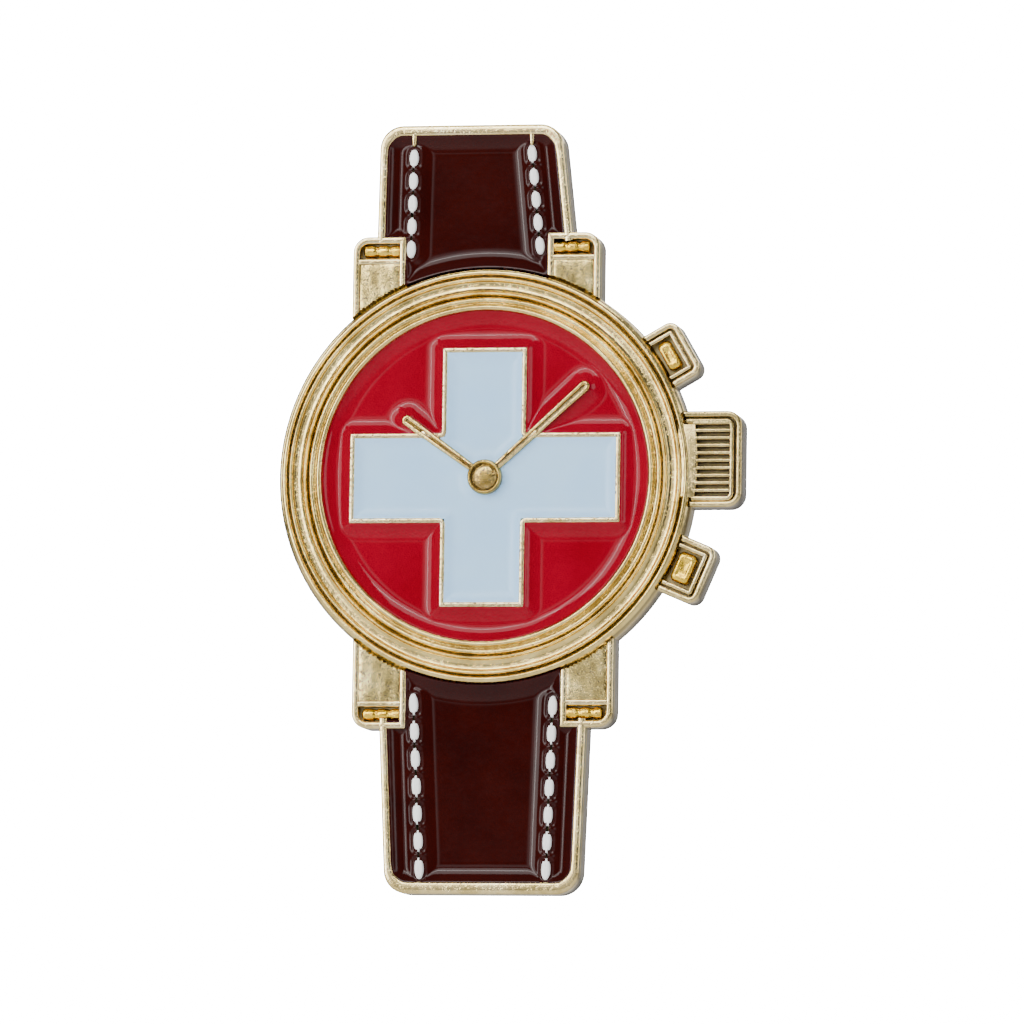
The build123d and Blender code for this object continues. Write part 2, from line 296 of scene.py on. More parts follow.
def lathe(name, profile, centre, steps, angle, y_axis=False):
    """Turn a closed (radius, height) profile. y_axis=True takes heights as +y instead."""
    points = []
    sign = 1 if y_axis else -1
    for i in range(steps):
        a = 2 * math.pi * i / steps
        for r, h in profile:
            points.append((centre[0] + r * math.cos(a), sign * h, centre[1] + r * math.sin(a)))
    return mesh_object(name, points, grid_faces(steps, len(profile), True, True), angle)


def smooth_line(points, steps):
    """Catmull-Rom line through points, with `steps` parts between each two."""
    p = [np.array(v, float) for v in points]
    p = [2 * p[0] - p[1]] + p + [2 * p[-1] - p[-2]]
    out = []
    for a, b, c, d in zip(p, p[1:], p[2:], p[3:]):
        for i in range(steps):
            t = i / steps
            out.append(0.5 * (2 * b + (c - a) * t + (2 * a - 5 * b + 4 * c - d) * t ** 2
                              + (3 * b - a - 3 * c + d) * t ** 3))
    out.append(p[-2])
    return out


def capsule(name, a, b, radius_a, radius_b, rings, sides, runs, angle=50.0):
    """Raised tapered bar with round ends.

    rings(radius) lists (inset from the edge, height) where the bar has that half width.
    """
    a, b = np.array(a, float), np.array(b, float)
    along = (b - a) / np.linalg.norm(b - a)
    left = np.array((-along[1], along[0]))
    stations = []
    for i in range(runs + 1):
        t = i / runs
        stations.append((a + (b - a) * t, -left, radius_a + (radius_b - radius_a) * t))
    for i in range(1, sides):
        turn = math.pi * i / sides
        stations.append((b, -left * math.cos(turn) + along * math.sin(turn), radius_b))
    for i in range(runs + 1):
        t = 1 - i / runs
        stations.append((a + (b - a) * t, left, radius_a + (radius_b - radius_a) * t))
    for i in range(1, sides):
        turn = math.pi * i / sides
        stations.append((a, left * math.cos(turn) - along * math.sin(turn), radius_a))
    sections = [rings(radius) for _, _, radius in stations]
    count = len(sections[0])
    points = []
    for k in range(count):
        for (mid, out, radius), section in zip(stations, sections):
            inset, height = section[k]
            q = mid + out * max(radius - inset, 0.0)
            points.append((q[0], -height, q[1]))
    return mesh_object(name, points, grid_faces(count, len(stations), False, True), angle)


CORNER_FIT = 1.3          # makes up for corners, which are further from the middle than sides


def raised_block(name, outline, rings):
    """Closed block over a rounded outline; rings are (inset from the edge, height).

    An inset shrinks the outline towards its middle.
    """
    outline = anticlockwise(outline)
    centre = outline.mean(0)
    size = np.linalg.norm(outline - centre, axis=1)[:, None]
    points = []
    for inset, height in rings:
        ring = centre + (outline - centre) * np.maximum(1 - inset * CORNER_FIT / size, 0.02)
        points += [(p[0], -height, p[1]) for p in ring]
    return mesh_object(name, points, capped_faces(len(rings), len(outline), low_first=False), 50.0)


def rect_points(x, z):
    return [(x[0], z[0]), (x[1], z[0]), (x[1], z[1]), (x[0], z[1])]


# ------------------------------------------------------------------ distances for the enamel
def polygon_distance(px, pz, poly):
    """Signed distance to a closed polygon, positive inside."""
    poly = np.array(poly, float)
    best = np.full(px.shape, 1e9)
    inside = np.zeros(px.shape, bool)
    for a, b in zip(poly, np.roll(poly, -1, 0)):
        e = b - a
        wx, wz = px - a[0], pz - a[1]
        t = np.clip((wx * e[0] + wz * e[1]) / (e @ e), 0, 1)
        best = np.minimum(best, (wx - e[0] * t) ** 2 + (wz - e[1] * t) ** 2)
        cross = ((a[1] <= pz) != (b[1] <= pz))
        if e[1] != 0:
            inside ^= cross & (px < a[0] + e[0] * (pz - a[1]) / e[1])
    return np.sqrt(best) * np.where(inside, 1, -1)


def capsule_distance(px, pz, a, b, radius_a, radius_b):
    """Distance to a tapered bar, positive outside it."""
    a, b = np.array(a, float), np.array(b, float)
    e = b - a
    t = np.clip(((px - a[0]) * e[0] + (pz - a[1]) * e[1]) / (e @ e), 0, 1)
    gap = np.hypot(px - a[0] - e[0] * t, pz - a[1] - e[1] * t)
    return gap - (radius_a + (radius_b - radius_a) * t)


def soft_min(values, k):
    """Smooth minimum, so the enamel has no crease half way between two walls."""
    low = np.minimum.reduce(values)
    total = sum(np.exp(-(v - low) / k) for v in values)
    return low - k * np.log(total)


POOL_BOTTOM = FLOOR - 0.12
POOL_UNDER = 0.10         # how far a pool runs into its walls
POOL_BLEND = 0.05         # width of the smooth change between two walls
POOL_RELAX = 3            # passes that level the surface


def enamel(name, box, distances, dent, level, climb, reach, step):
    """A pool of enamel that fills its cell and climbs the walls round it.

    distances(px, pz) gives the list of distances to each wall, positive inside the cell.
    dent(px, pz), if any, is how much lower the surface is there. It stands at level in the
    open and climbs by climb over the last reach to a wall.
    """
    nx = int(round((box[1] - box[0]) / step)) + 1
    nz = int(round((box[3] - box[2]) / step)) + 1
    px, pz = np.meshgrid(np.linspace(box[0], box[1], nx), np.linspace(box[2], box[3], nz), indexing="ij")
    walls = distances(px, pz)
    soft = np.maximum(soft_min(walls, POOL_BLEND), 0)
    h = level + climb * np.clip(1 - soft / reach, 0, 1) ** 2.0
    if dent is not None:
        h -= dent(px, pz)
    for _ in range(POOL_RELAX):
        pad = np.pad(h, 1, mode="edge")
        h = 0.5 * h + 0.125 * (pad[:-2, 1:-1] + pad[2:, 1:-1] + pad[1:-1, :-2] + pad[1:-1, 2:])
    keep = np.minimum.reduce(walls) > -POOL_UNDER
    quad = keep[:-1, :-1] & keep[1:, :-1] & keep[1:, 1:] & keep[:-1, 1:]
    index = -np.ones(px.shape, int)
    used = np.zeros(px.shape, bool)
    for dx in (0, 1):
        for dz in (0, 1):
            used[dx:nx - 1 + dx, dz:nz - 1 + dz] |= quad
    count = int(used.sum())
    index[used] = np.arange(count)
    top = np.c_[px[used], -h[used], pz[used]]
    low = np.c_[px[used], np.full(count, -POOL_BOTTOM), pz[used]]
    ix, iz = np.nonzero(quad)
    corner = np.c_[index[ix, iz], index[ix + 1, iz], index[ix + 1, iz + 1], index[ix, iz + 1]]
    upper = [tuple(map(int, f)) for f in corner]
    lower = [tuple(v + count for v in f[::-1]) for f in upper]
    side = [(b, a, a + count, b + count) for a, b in border_edges(upper)]
    return mesh_object(name, [tuple(p) for p in np.vstack([top, low])], upper + lower + side, 50.0)


# ------------------------------------------------------------------ material helpers
def material(name):
    mat = bpy.data.materials.new(name)
    mat.use_nodes = True
    mat.node_tree.nodes.clear()
    out = add(mat, "ShaderNodeOutputMaterial")
    bsdf = add(mat, "ShaderNodeBsdfPrincipled")
    link(mat, bsdf.outputs[0], out.inputs[0])
    return mat, bsdf


def add(mat, kind, **settings):
    """New node of a kind, in a material or a world."""
    node = mat.node_tree.nodes.new(kind)
    for key, value in settings.items():
        setattr(node, key, value)
    return node


def link(mat, a, b):
    mat.node_tree.links.new(a, b)


def noise(mat, scale, detail=3.0, rough=0.5):
    """Noise over the object's own metres; scale is features per millimetre."""
    coord = add(mat, "ShaderNodeTexCoord")
    node = add(mat, "ShaderNodeTexNoise")
    node.inputs["Scale"].default_value = scale / MM
    node.inputs["Detail"].default_value = detail
    node.inputs["Roughness"].default_value = rough
    link(mat, coord.outputs["Object"], node.inputs["Vector"])
    return node


def ramp(mat, source, stops):
    """Colour ramp with stops of (position, (r, g, b))."""
    node = add(mat, "ShaderNodeValToRGB")
    elements = node.color_ramp.elements
    while len(elements) < len(stops):
        elements.new(0.5)
    for element, (at, colour) in zip(elements, stops):
        element.position = at
        element.color = (*colour, 1)
    link(mat, source, node.inputs["Fac"])
    return node


def remap(mat, source, low, high, to_low, to_high):
    node = add(mat, "ShaderNodeMapRange")
    for key, value in (("From Min", low), ("From Max", high), ("To Min", to_low), ("To Max", to_high)):
        node.inputs[key].default_value = value
    link(mat, source, node.inputs["Value"])
    return node.outputs["Result"]


def math_node(mat, operation, a, b):
    node = add(mat, "ShaderNodeMath", operation=operation)
    link(mat, a, node.inputs[0])
    link(mat, b, node.inputs[1])
    return node.outputs[0]


def bump(mat, bsdf, source, distance, strength=1.0, before=None):
    """Bump of distance millimetres into the shader's normal, on top of an earlier one."""
    node = add(mat, "ShaderNodeBump")
    node.inputs["Strength"].default_value = strength
    node.inputs["Distance"].default_value = distance * MM
    link(mat, source, node.inputs["Height"])
    if before is not None:
        link(mat, before.outputs["Normal"], node.inputs["Normal"])
    link(mat, node.outputs["Normal"], bsdf.inputs["Normal"])
    return node


# painted shade: (height above the back, how dark). Lower gold surfaces are darkened in colour to stand for shade on
# wall sides, in grooves and recesses. The dark gold below is both this painted shade and the colour of the cast
# pits
PAINTED_RECESS_SHADE = ((1.00, 0.7), (1.22, 0.7), (1.32, 0.1), (1.55, 0.1), (1.66, 0.8), (1.72, 0.7), (1.78, 0.1), (1.83, 0.0))
PIT_AND_SHADE_GOLD = (0.23, 0.185, 0.100, 1)
BAND_R = (8.0, 11.0)      # radii that a list of bands can cover
PAINTED_SHADE_H = (1.0, 2.2)      # heights that a list of depths can cover
MIX_A, MIX_B, MIX_RESULT = 6, 7, 2  # colour sockets of a Mix node


def gold(name, pale, mid, deep, rough, grain, grain_size=14.0, specks=0.0, bands=(), painted_shade=PAINTED_RECESS_SHADE,
         shade_by=0.85, wave=0.020):
    """Thin bright plating over a cast surface.

    The tone drifts between pale, mid and deep, and the roughness between the two of rough.
    The surface swells by wave and has a grain of its own height and size. Dark pits, as many
    as specks says, gather in the bands: (radius about the dial's axis, how many). Lower
    surfaces get painted shade that stands for shade on wall sides, in grooves and recesses: the
    list gives (height above the back, how strong the shade), and shade_by scales it. Pits and painted shade share
    one dark gold.
    """
    mat, bsdf = material(name)
    drift = noise(mat, 0.55, 4.0, 0.6)
    tone = ramp(mat, drift.outputs["Fac"], [(0.30, deep), (0.50, mid), (0.72, pale)])
    dots = noise(mat, 6.5, 2.0, 0.7)
    pitted = remap(mat, dots.outputs["Fac"], 0.56, 0.66, 0.0, specks)
    coord = add(mat, "ShaderNodeTexCoord")
    if bands:
        flat = add(mat, "ShaderNodeVectorMath", operation="MULTIPLY")
        flat.inputs[1].default_value = (1, 0, 1)
        link(mat, coord.outputs["Object"], flat.inputs[0])
        radius = add(mat, "ShaderNodeVectorMath", operation="LENGTH")
        link(mat, flat.outputs[0], radius.inputs[0])
        near, far = BAND_R
        rings = ramp(mat, remap(mat, radius.outputs["Value"], near * MM, far * MM, 0, 1),
                     [((r - near) / (far - near), (v, v, v)) for r, v in bands])
        pitted = math_node(mat, "MULTIPLY", pitted, rings.outputs["Color"])
    pits_and_shade = pitted
    # painted shade: darker by height above the back; the darker of pits and painted shade goes into the colour
    if painted_shade:
        axes = add(mat, "ShaderNodeSeparateXYZ")
        link(mat, coord.outputs["Object"], axes.inputs[0])
        bottom, top = PAINTED_SHADE_H
        height = remap(mat, axes.outputs["Y"], -bottom * MM, -top * MM, 0, 1)
        low = ramp(mat, height, [((h - bottom) / (top - bottom), (v * shade_by,) * 3) for h, v in painted_shade])
        pits_and_shade = math_node(mat, "MAXIMUM", pitted, low.outputs["Color"])
    mix = add(mat, "ShaderNodeMix", data_type="RGBA")
    mix.inputs[MIX_B].default_value = PIT_AND_SHADE_GOLD
    link(mat, pits_and_shade, mix.inputs[0])
    link(mat, tone.outputs["Color"], mix.inputs[MIX_A])
    link(mat, mix.outputs[MIX_RESULT], bsdf.inputs["Base Color"])
    bsdf.inputs["Metallic"].default_value = 1.0
    smear = noise(mat, 2.6, 4.0, 0.6)
    link(mat, remap(mat, smear.outputs["Fac"], 0.3, 0.75, *rough), bsdf.inputs["Roughness"])
    swell = noise(mat, 1.3, 2.0)
    first = bump(mat, bsdf, swell.outputs["Fac"], wave, 0.6)
    pits = bump(mat, bsdf, pitted, -0.020, 1.0, first) if specks > 0 else first
    fine = noise(mat, grain_size, 3.0, 0.6)
    bump(mat, bsdf, fine.outputs["Fac"], grain, 1.0, pits)
    return mat


def baked_enamel(name, base, shade_to, rough, specks=0.0):
    """Baked enamel: deep glossy colour with faint flow marks and, with specks, a little dust."""
    mat, bsdf = material(name)
    flow = noise(mat, 0.35, 3.0, 0.5)
    tone = ramp(mat, flow.outputs["Fac"], [(0.30, shade_to), (0.62, base)])
    link(mat, tone.outputs["Color"], bsdf.inputs["Base Color"])
    fine = noise(mat, 5.0, 2.0)
    link(mat, remap(mat, fine.outputs["Fac"], 0.3, 0.8, rough * 0.7, rough * 1.6), bsdf.inputs["Roughness"])
    swell = noise(mat, 0.8, 2.0)
    first = bump(mat, bsdf, swell.outputs["Fac"], 0.012, 0.5)
    if specks > 0:
        dust = add(mat, "ShaderNodeTexVoronoi")
        dust.inputs["Scale"].default_value = 0.45 / MM
        coord = add(mat, "ShaderNodeTexCoord")
        link(mat, coord.outputs["Object"], dust.inputs["Vector"])
        point = remap(mat, dust.outputs["Distance"], 0.0, 0.05, 1.0, 0.0)
        bump(mat, bsdf, point, specks, 0.8, first)
    bsdf.inputs["IOR"].default_value = 1.46
    bsdf.inputs["Specular IOR Level"].default_value = 0.19
    return mat


GOLD_RIM = gold(
    "gold_rim", (0.93, 0.79, 0.45), (0.80, 0.63, 0.29), (0.54, 0.41, 0.15), (0.06, 0.16), 0.006, specks=0.3)
GOLD_BEZEL = gold(
    "gold_bezel", (0.93, 0.74, 0.31), (0.73, 0.545, 0.19), (0.46, 0.34, 0.12), (0.05, 0.14), 0.007, specks=0.6,
    bands=((8.55, 0.1), (8.66, 0.8), (8.76, 0.6), (9.0, 0.9), (9.08, 0.1), (9.32, 0.15),
           (9.45, 0.5), (9.72, 0.5), (9.85, 0.1), (10.04, 0.7), (10.2, 0.05), (10.5, 0.3)),
    painted_shade=((1.0, 0.1), (1.4, 0.1), (1.64, 1.0), (1.70, 1.0), (1.74, 0.3), (1.80, 0.0)), wave=0.026)
GOLD_CROWN = gold(
    "gold_crown", (0.80, 0.64, 0.30), (0.56, 0.43, 0.17), (0.32, 0.24, 0.09), (0.06, 0.16), 0.007, specks=0.4,
    painted_shade=((1.0, 1.0), (1.60, 1.0), (1.71, 0.9), (1.76, 0.25), (1.79, 0.0)))
GOLD_CROSS = gold(
    "gold_cross", (0.90, 0.76, 0.46), (0.80, 0.63, 0.32), (0.50, 0.35, 0.13), (0.12, 0.24), 0.007, specks=0.9,
    painted_shade=((1.0, 1.0), (1.76, 1.0), (1.80, 0.5), (1.83, 0.0)))
GOLD_HAND = gold(
    "gold_hand", (0.88, 0.70, 0.33), (0.74, 0.54, 0.18), (0.46, 0.30, 0.08), (0.08, 0.20), 0.007, specks=0.8,
    painted_shade=((1.0, 1.0), (1.86, 1.0), (1.92, 0.5), (1.97, 0.0)))
GOLD_HUB = gold(
    "gold_hub", (0.80, 0.62, 0.24), (0.50, 0.35, 0.09), (0.20, 0.12, 0.03), (0.06, 0.18), 0.010, specks=0.8,
    painted_shade=((1.0, 1.0), (1.93, 1.0), (2.01, 0.8), (2.06, 0.4), (2.12, 0.0)), wave=0.06)
GOLD_DEEP = gold(
    "gold_hollow", (0.95, 0.68, 0.12), (0.84, 0.54, 0.05), (0.50, 0.30, 0.02), (0.10, 0.24), 0.010, specks=0.5,
    painted_shade=((1.0, 1.0), (1.40, 1.0), (1.52, 0.3), (1.60, 0.0)))
GOLD_LUG = gold(
    "gold_lug_floor", (0.88, 0.73, 0.35), (0.58, 0.45, 0.16), (0.20, 0.15, 0.05), (0.05, 0.20), 0.012,
    specks=0.8, painted_shade=(), wave=0.055)
GOLD_BACK = gold(
    "gold_back", (0.92, 0.73, 0.32), (0.86, 0.64, 0.24), (0.70, 0.49, 0.15), (0.28, 0.42), 0.012, 10.0,
    painted_shade=((1.0, 0.0), (1.1, 0.0), (1.15, 1.0), (1.3, 1.0)), shade_by=0.95)
CLUTCH = gold(
    "clutch_brass", (0.91, 0.71, 0.30), (0.84, 0.62, 0.22), (0.72, 0.49, 0.15), (0.18, 0.32), 0.004, painted_shade=())
POST = gold(
    "post_plated", (0.88, 0.76, 0.48), (0.82, 0.69, 0.41), (0.72, 0.58, 0.32), (0.20, 0.32), 0.003, painted_shade=())
RED = baked_enamel("red_enamel", (0.26, 0.0001, 0.0120), (0.22, 0.0001, 0.0090), 0.045)
WHITE = baked_enamel("white_enamel", (0.44, 0.71, 1.0), (0.40, 0.68, 1.0), 0.06)
BROWN = baked_enamel("strap_enamel", (0.027, 0.0018, 0.0010), (0.018, 0.0010, 0.0006), 0.07, 0.03)
STITCH = baked_enamel("stitch_white", (0.97, 0.98, 0.97), (0.94, 0.95, 0.94), 0.30)


def dress(obj, mat):
    obj.data.materials.clear()
    obj.data.materials.append(mat)


def paint(obj, mat, body="badge"):
    """Material, material slot and body of a new piece."""
    dress(obj, mat)
    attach(obj, body)
    return obj


# ------------------------------------------------------------------ the casting
SHOULDER = ((0.0, 1.25), (0.12, 0.72), (0.42, 0.28), (1.0, 0.05))  # (inset, drop) of a rounded edge of 1


def wall_profile(width, top, foot, soft, outer_foot=None):
    """Closed section of an outline wall, with top edges rounded by soft. Inset 0 is its outer face.

    foot is where the inner face ends. With no outer_foot the outer face is the pin's side, down
    to the round at the back.
    """
    if outer_foot is None:
        section = [(BACK_ROUND, BACK), (BACK_ROUND * 0.35, BACK + 0.03), (0.0, BACK + BACK_ROUND)]
    else:
        section = [(0.0, outer_foot)]
    shoulder = [(soft * inset, top - soft * drop) for inset, drop in SHOULDER]
    section += shoulder + [(width / 2, top)]
    section += [(width - inset, height) for inset, height in reversed(shoulder)]
    section.append((width, foot))
    if outer_foot is None:
        section.append((width, BACK))
    return section


gold_pieces = []

# rims round the strap ends: open at the lugs, where the ends are buried
BURY = 0.25
END_BAND = 0.9            # the rim widens over this length before the end
for name, strap, longer in (("upper", STRAP_UP, END_UP), ("lower", STRAP_LOW, -END_LOW)):
    far = [strap[0], *((x, z + longer) for x, z in strap[1:3]), strap[3]]
    outer = offset_polygon(far, RIM_W)
    bury = BURY if name == "upper" else -BURY
    outer[0] = (outer[0][0], strap[0][1] - bury)
    outer[3] = (outer[3][0], strap[3][1] - bury)
    line = rounded_polygon(outer, (0, STRAP_CORNER + RIM_W, STRAP_CORNER + RIM_W, 0), 10)
    line = line if name == "lower" else line[::-1]
    line = resample(line, 0.5, False)
    end = max(abs(z) for _, z in far)
    across = np.clip((np.abs(line[:, 1]) - (end - END_BAND)) / END_BAND, 0, 1)
    profile = wall_profile(RIM_W, RIM, FLOOR - 0.05, 0.11)
    gold_pieces.append(ribbon("strap_rim_" + name, line, profile, closed=False,
                              widen=1 + across * abs(longer) / RIM_W))

# bezel, turned from a smooth section
BEZEL = [
    (FIELD_R, 1.80), (8.335, 1.91), (8.40, 1.985), (8.48, 2.015), (8.56, 1.98), (8.62, 1.88),
    (8.68, 1.79), (8.76, 1.84), (8.87, 1.885), (8.97, 1.83), (9.045, 1.69), (9.10, 1.88), (9.145, 1.995),
    (9.18, 2.02), (9.225, 1.985), (9.29, 1.87), (9.40, 1.80), (9.50, 1.77), (9.60, 1.765), (9.69, 1.775),
    (9.76, 1.80), (9.82, 1.89), (9.87, 1.935), (9.93, 1.945), (9.98, 1.89), (10.03, 1.74), (10.07, 1.66),
    (10.12, 1.78), (10.17, 1.85), (10.22, 1.87), (10.29, 1.86), (10.37, 1.81), (10.45, 1.72), (10.52, 1.60),
    (10.565, 1.48), (BEZEL_R, 1.34)]
BEZEL_FOOT = [(BEZEL_R, 0.14), (10.545, 0.05), (10.48, BACK), (9.0, BACK), (9.0, 1.10)]
section = [(FIELD_R, 1.10)] + [tuple(p) for p in smooth_line(BEZEL, 3)] + BEZEL_FOOT
bezel = lathe("bezel", section, (0.0, 0.0), 360, 35.0)

# cross outline
cross_out = rounded_polygon(CROSS_LINE, [0.07] * len(CROSS_LINE), 4)
wall = wall_profile(WALL, RIM, ROOT, 0.06, outer_foot=ROOT)
cross_pieces = [ribbon("cross_outline", resample(cross_out, 0.5, True), wall)]


def hand_rings(half, groove):
    """Rounded bar with a fine groove along the middle, which keeps its width."""
    return [
        (half, ROOT), (0.0, ROOT), (0.0, HAND - 0.13), (0.012, HAND - 0.07),
        (0.040, HAND - 0.028), (0.075, HAND - 0.008), (0.11, HAND), (half - groove - 0.03, HAND - 0.004),
        (half - groove, HAND - 0.03), (half - groove + 0.02, HAND - 0.16), (half, HAND - 0.18)]


HOUR = (HUB_C, HOUR_TIP, HOUR_W[0] / 2, HOUR_W[1] / 2)
MINUTE = (HUB_C, MINUTE_TIP, MINUTE_W[0] / 2, MINUTE_W[1] / 2)
hand_pieces = [
    capsule("hour_hand", *HOUR, lambda half: hand_rings(half, 0.065), 24, 40, 45.0),
    capsule("minute_hand", *MINUTE, lambda half: hand_rings(half, 0.075), 24, 40, 45.0)]

# hub: ring wall round a low dome
hub_section = [
    (0.0, HUB - 0.005), (0.18, HUB - 0.01), (0.36, HUB - 0.03), (0.50, HUB - 0.065), (0.60, HUB - 0.11),
    (0.645, HUB - 0.145), (0.675, HUB - 0.12), (0.70, HUB - 0.05), (0.735, HUB - 0.008), (0.78, HUB),
    (0.83, HUB - 0.03), (0.87, HUB - 0.10), (HUB_R, HUB - 0.20), (HUB_R, ROOT), (0.0, ROOT)]
hub = lathe("hub", hub_section, HUB_C, 96, 50.0)

# small fillets of metal where the hands cross the outline
FILLET = [
    (0.0, RIM + 0.03), (0.14, RIM + 0.02), (0.24, RIM - 0.03), (0.31, RIM - 0.12), (0.34, FLOOR), (0.0, FLOOR)]
for at in ((-3.09, 2.10), (2.50, 2.10)):
    cross_pieces.append(lathe("hand_fillet", FILLET, at, 32, 60.0))


# lugs: a walled frame with a ridge between a long hollow and an end slot
LUG_RIDGE = [
    (0.20, ROOT), (0.0, ROOT), (0.0, RIM - 0.16), (0.02, RIM - 0.09), (0.06, RIM - 0.045), (0.11, RIM - 0.03),
    (0.20, RIM - 0.03)]
LEAN = {"up_left": 0.08}  # how much the floor leans across; the other lugs have LEAN_USUAL
LEAN_USUAL = -0.04


def lug_floor(name, x_range, split, up):
    """Swollen floor of the long hollow, a little uneven."""
    low, high = x_range
    outer = LUGS[name][0]
    nu, nv = 22, 34
    tops, feet = [], []
    for j in range(nv):
        v = j / (nv - 1)
        z = split + (up * LUG_ROOT - split) * v
        for i in range(nu):
            u = i / (nu - 1)
            x = low - 0.08 + (high - low + 0.16) * u
            dome = (1 - (2 * u - 1) ** 8) * (1 - math.exp(-v * 20))
            h = RIM - 0.14 + 0.05 * dome + 0.012 * math.sin(2.6 * u + 2.1 * v + outer)
            h += 0.006 * math.sin(5 * v + 3 * u * outer) + LEAN.get(name, LEAN_USUAL) * (u - 0.5)
            tops.append((x, -under_bezel(x, z, h, 1.45), z))
            feet.append((x, -ROOT, z))
    upper = grid_faces(nv, nu)
    count = nu * nv
    lower = [tuple(v + count for v in f[::-1]) for f in upper]
    edge = [i for i in range(nu)] + [j * nu + nu - 1 for j in range(1, nv)]
    edge += [(nv - 1) * nu + i for i in range(nu - 2, -1, -1)] + [j * nu for j in range(nv - 2, 0, -1)]
    skirt = [(a, a + count, b + count, b) for a, b in zip(edge, edge[1:] + edge[:1])]
    return mesh_object("lug_floor_" + name, tops + feet, upper + lower + skirt, 60.0)


def lug_bar(name, x_range, z):
    """Rounded bar along x in the end slot, with two shallow waists and narrower ends."""
    x0, x1 = x_range
    sides, runs = 14, 40
    points = []
    for j in range(runs + 1):
        t = j / runs
        x = x0 + (x1 - x0) * t
        waist = 0.10 * (math.exp(-((t - 0.36) / 0.05) ** 2) + math.exp(-((t - 0.70) / 0.06) ** 2))
        radius = 0.31 * (1 - waist * 1.9)
        to_end = min(t, 1 - t)
        if to_end < 0.05:
            radius *= min(1.0, 0.55 + 9 * to_end)
        for i in range(sides):
            a = 2 * math.pi * i / sides
            points.append((x, -(RIM - 0.36 + radius * math.sin(a)), z + radius * math.cos(a)))
    faces = grid_faces(runs + 1, sides, False, True)
    faces += [tuple(range(sides)), tuple(reversed(range(runs * sides, (runs + 1) * sides)))]
    return mesh_object("lug_bar_" + name, points, faces, 60.0)


lug_floors = []
lug_bars = []
for name, (outer, inner, end) in LUGS.items():
    side = math.copysign(1, outer)
    up = math.copysign(1, end)
    split = end - up * LUG_SLOT
    base = up * LUG_ROOT
    corners = [(outer, base), (outer, end), (inner - side * 0.02, end), (inner - side * 0.02, base)]
    outline = rounded_polygon(corners, (0, LUG_CORNER, 0.10, 0), 10)
    gold_pieces.append(ribbon(
        "lug_" + name, fine_outline(outline), wall_profile(LUG_WALL, RIM, RIM - 0.62, 0.10), dip=1.55))
    hollow = sorted((outer - side * LUG_WALL, inner + side * LUG_INNER_WALL))
    gold_pieces.append(capsule(
        "lug_" + name + "_ridge", (hollow[0] - 0.1, split), (hollow[1] + 0.1, split), 0.17, 0.17,
        lambda _: LUG_RIDGE, 8, 6))
    lug_floors.append(lug_floor(name, hollow, split, up))
    ends = sorted((outer - side * (LUG_WALL + 0.16), inner + side * 0.25))
    lug_bars.append(lug_bar(name, ends, (end - up * 0.36 + split + up * 0.17) / 2))

# crown: bordered block with rounded ribs between the grooves, and a shelf next to the bezel
crown_line = rounded_polygon(rect_points(CROWN_X, CROWN_Z), (0, CROWN_CORNER, CROWN_CORNER, 0), 12)
crown_parts = [ribbon("crown", fine_outline(crown_line), wall_profile(0.30, RIM, RIM - 0.30, 0.09), dip=1.55)]
inner_line = rounded_polygon(
    rect_points((CROWN_X[0], CROWN_X[1] - 0.39), (CROWN_Z[0] + 0.30, CROWN_Z[1] - 0.36)), (0, 0.42, 0.42, 0), 10)
inner_wall = wall_profile(0.26, RIM - 0.03, RIM - 0.36, 0.09, outer_foot=RIM - 0.36)
crown_parts.append(ribbon("crown_inner", fine_outline(inner_line), inner_wall, dip=1.45))
CROWN_RIB = [
    (0.2, RIM - 0.5), (0.0, RIM - 0.5), (0.0, RIM - 0.17), (0.015, RIM - 0.10), (0.045, RIM - 0.05),
    (0.09, RIM - 0.035), (0.2, RIM - 0.035)]
for i in range(CROWN_RIBS):
    z = CROWN_TOP_GROOVE + CROWN_PITCH / 2 - i * CROWN_PITCH
    bulge = 0.16 * (1 - ((i - 5.0) / 5.0) ** 2)
    crown_parts.append(capsule("crown_rib", (10.62 + bulge, z), (12.36 + bulge * 0.6, z), 0.115, 0.115,
                               lambda _: CROWN_RIB, 6, 4))
SHELF_X = 9.8
SHELF_Z = (-1.18, 2.58)
arch = [(10.66 + 0.16 * (1 - ((z - 0.70) / 1.88) ** 2), z) for z in np.linspace(*SHELF_Z, 21)]
shelf = np.array([(SHELF_X, SHELF_Z[0])] + arch + [(SHELF_X, SHELF_Z[1])])
crown_parts.append(raised_block(
    "crown_shelf", shelf, [(0.0, RIM - 0.6), (0.0, RIM - 0.14), (0.03, RIM - 0.07), (0.09, RIM - 0.045)]))
crown = join("crown", crown_parts)

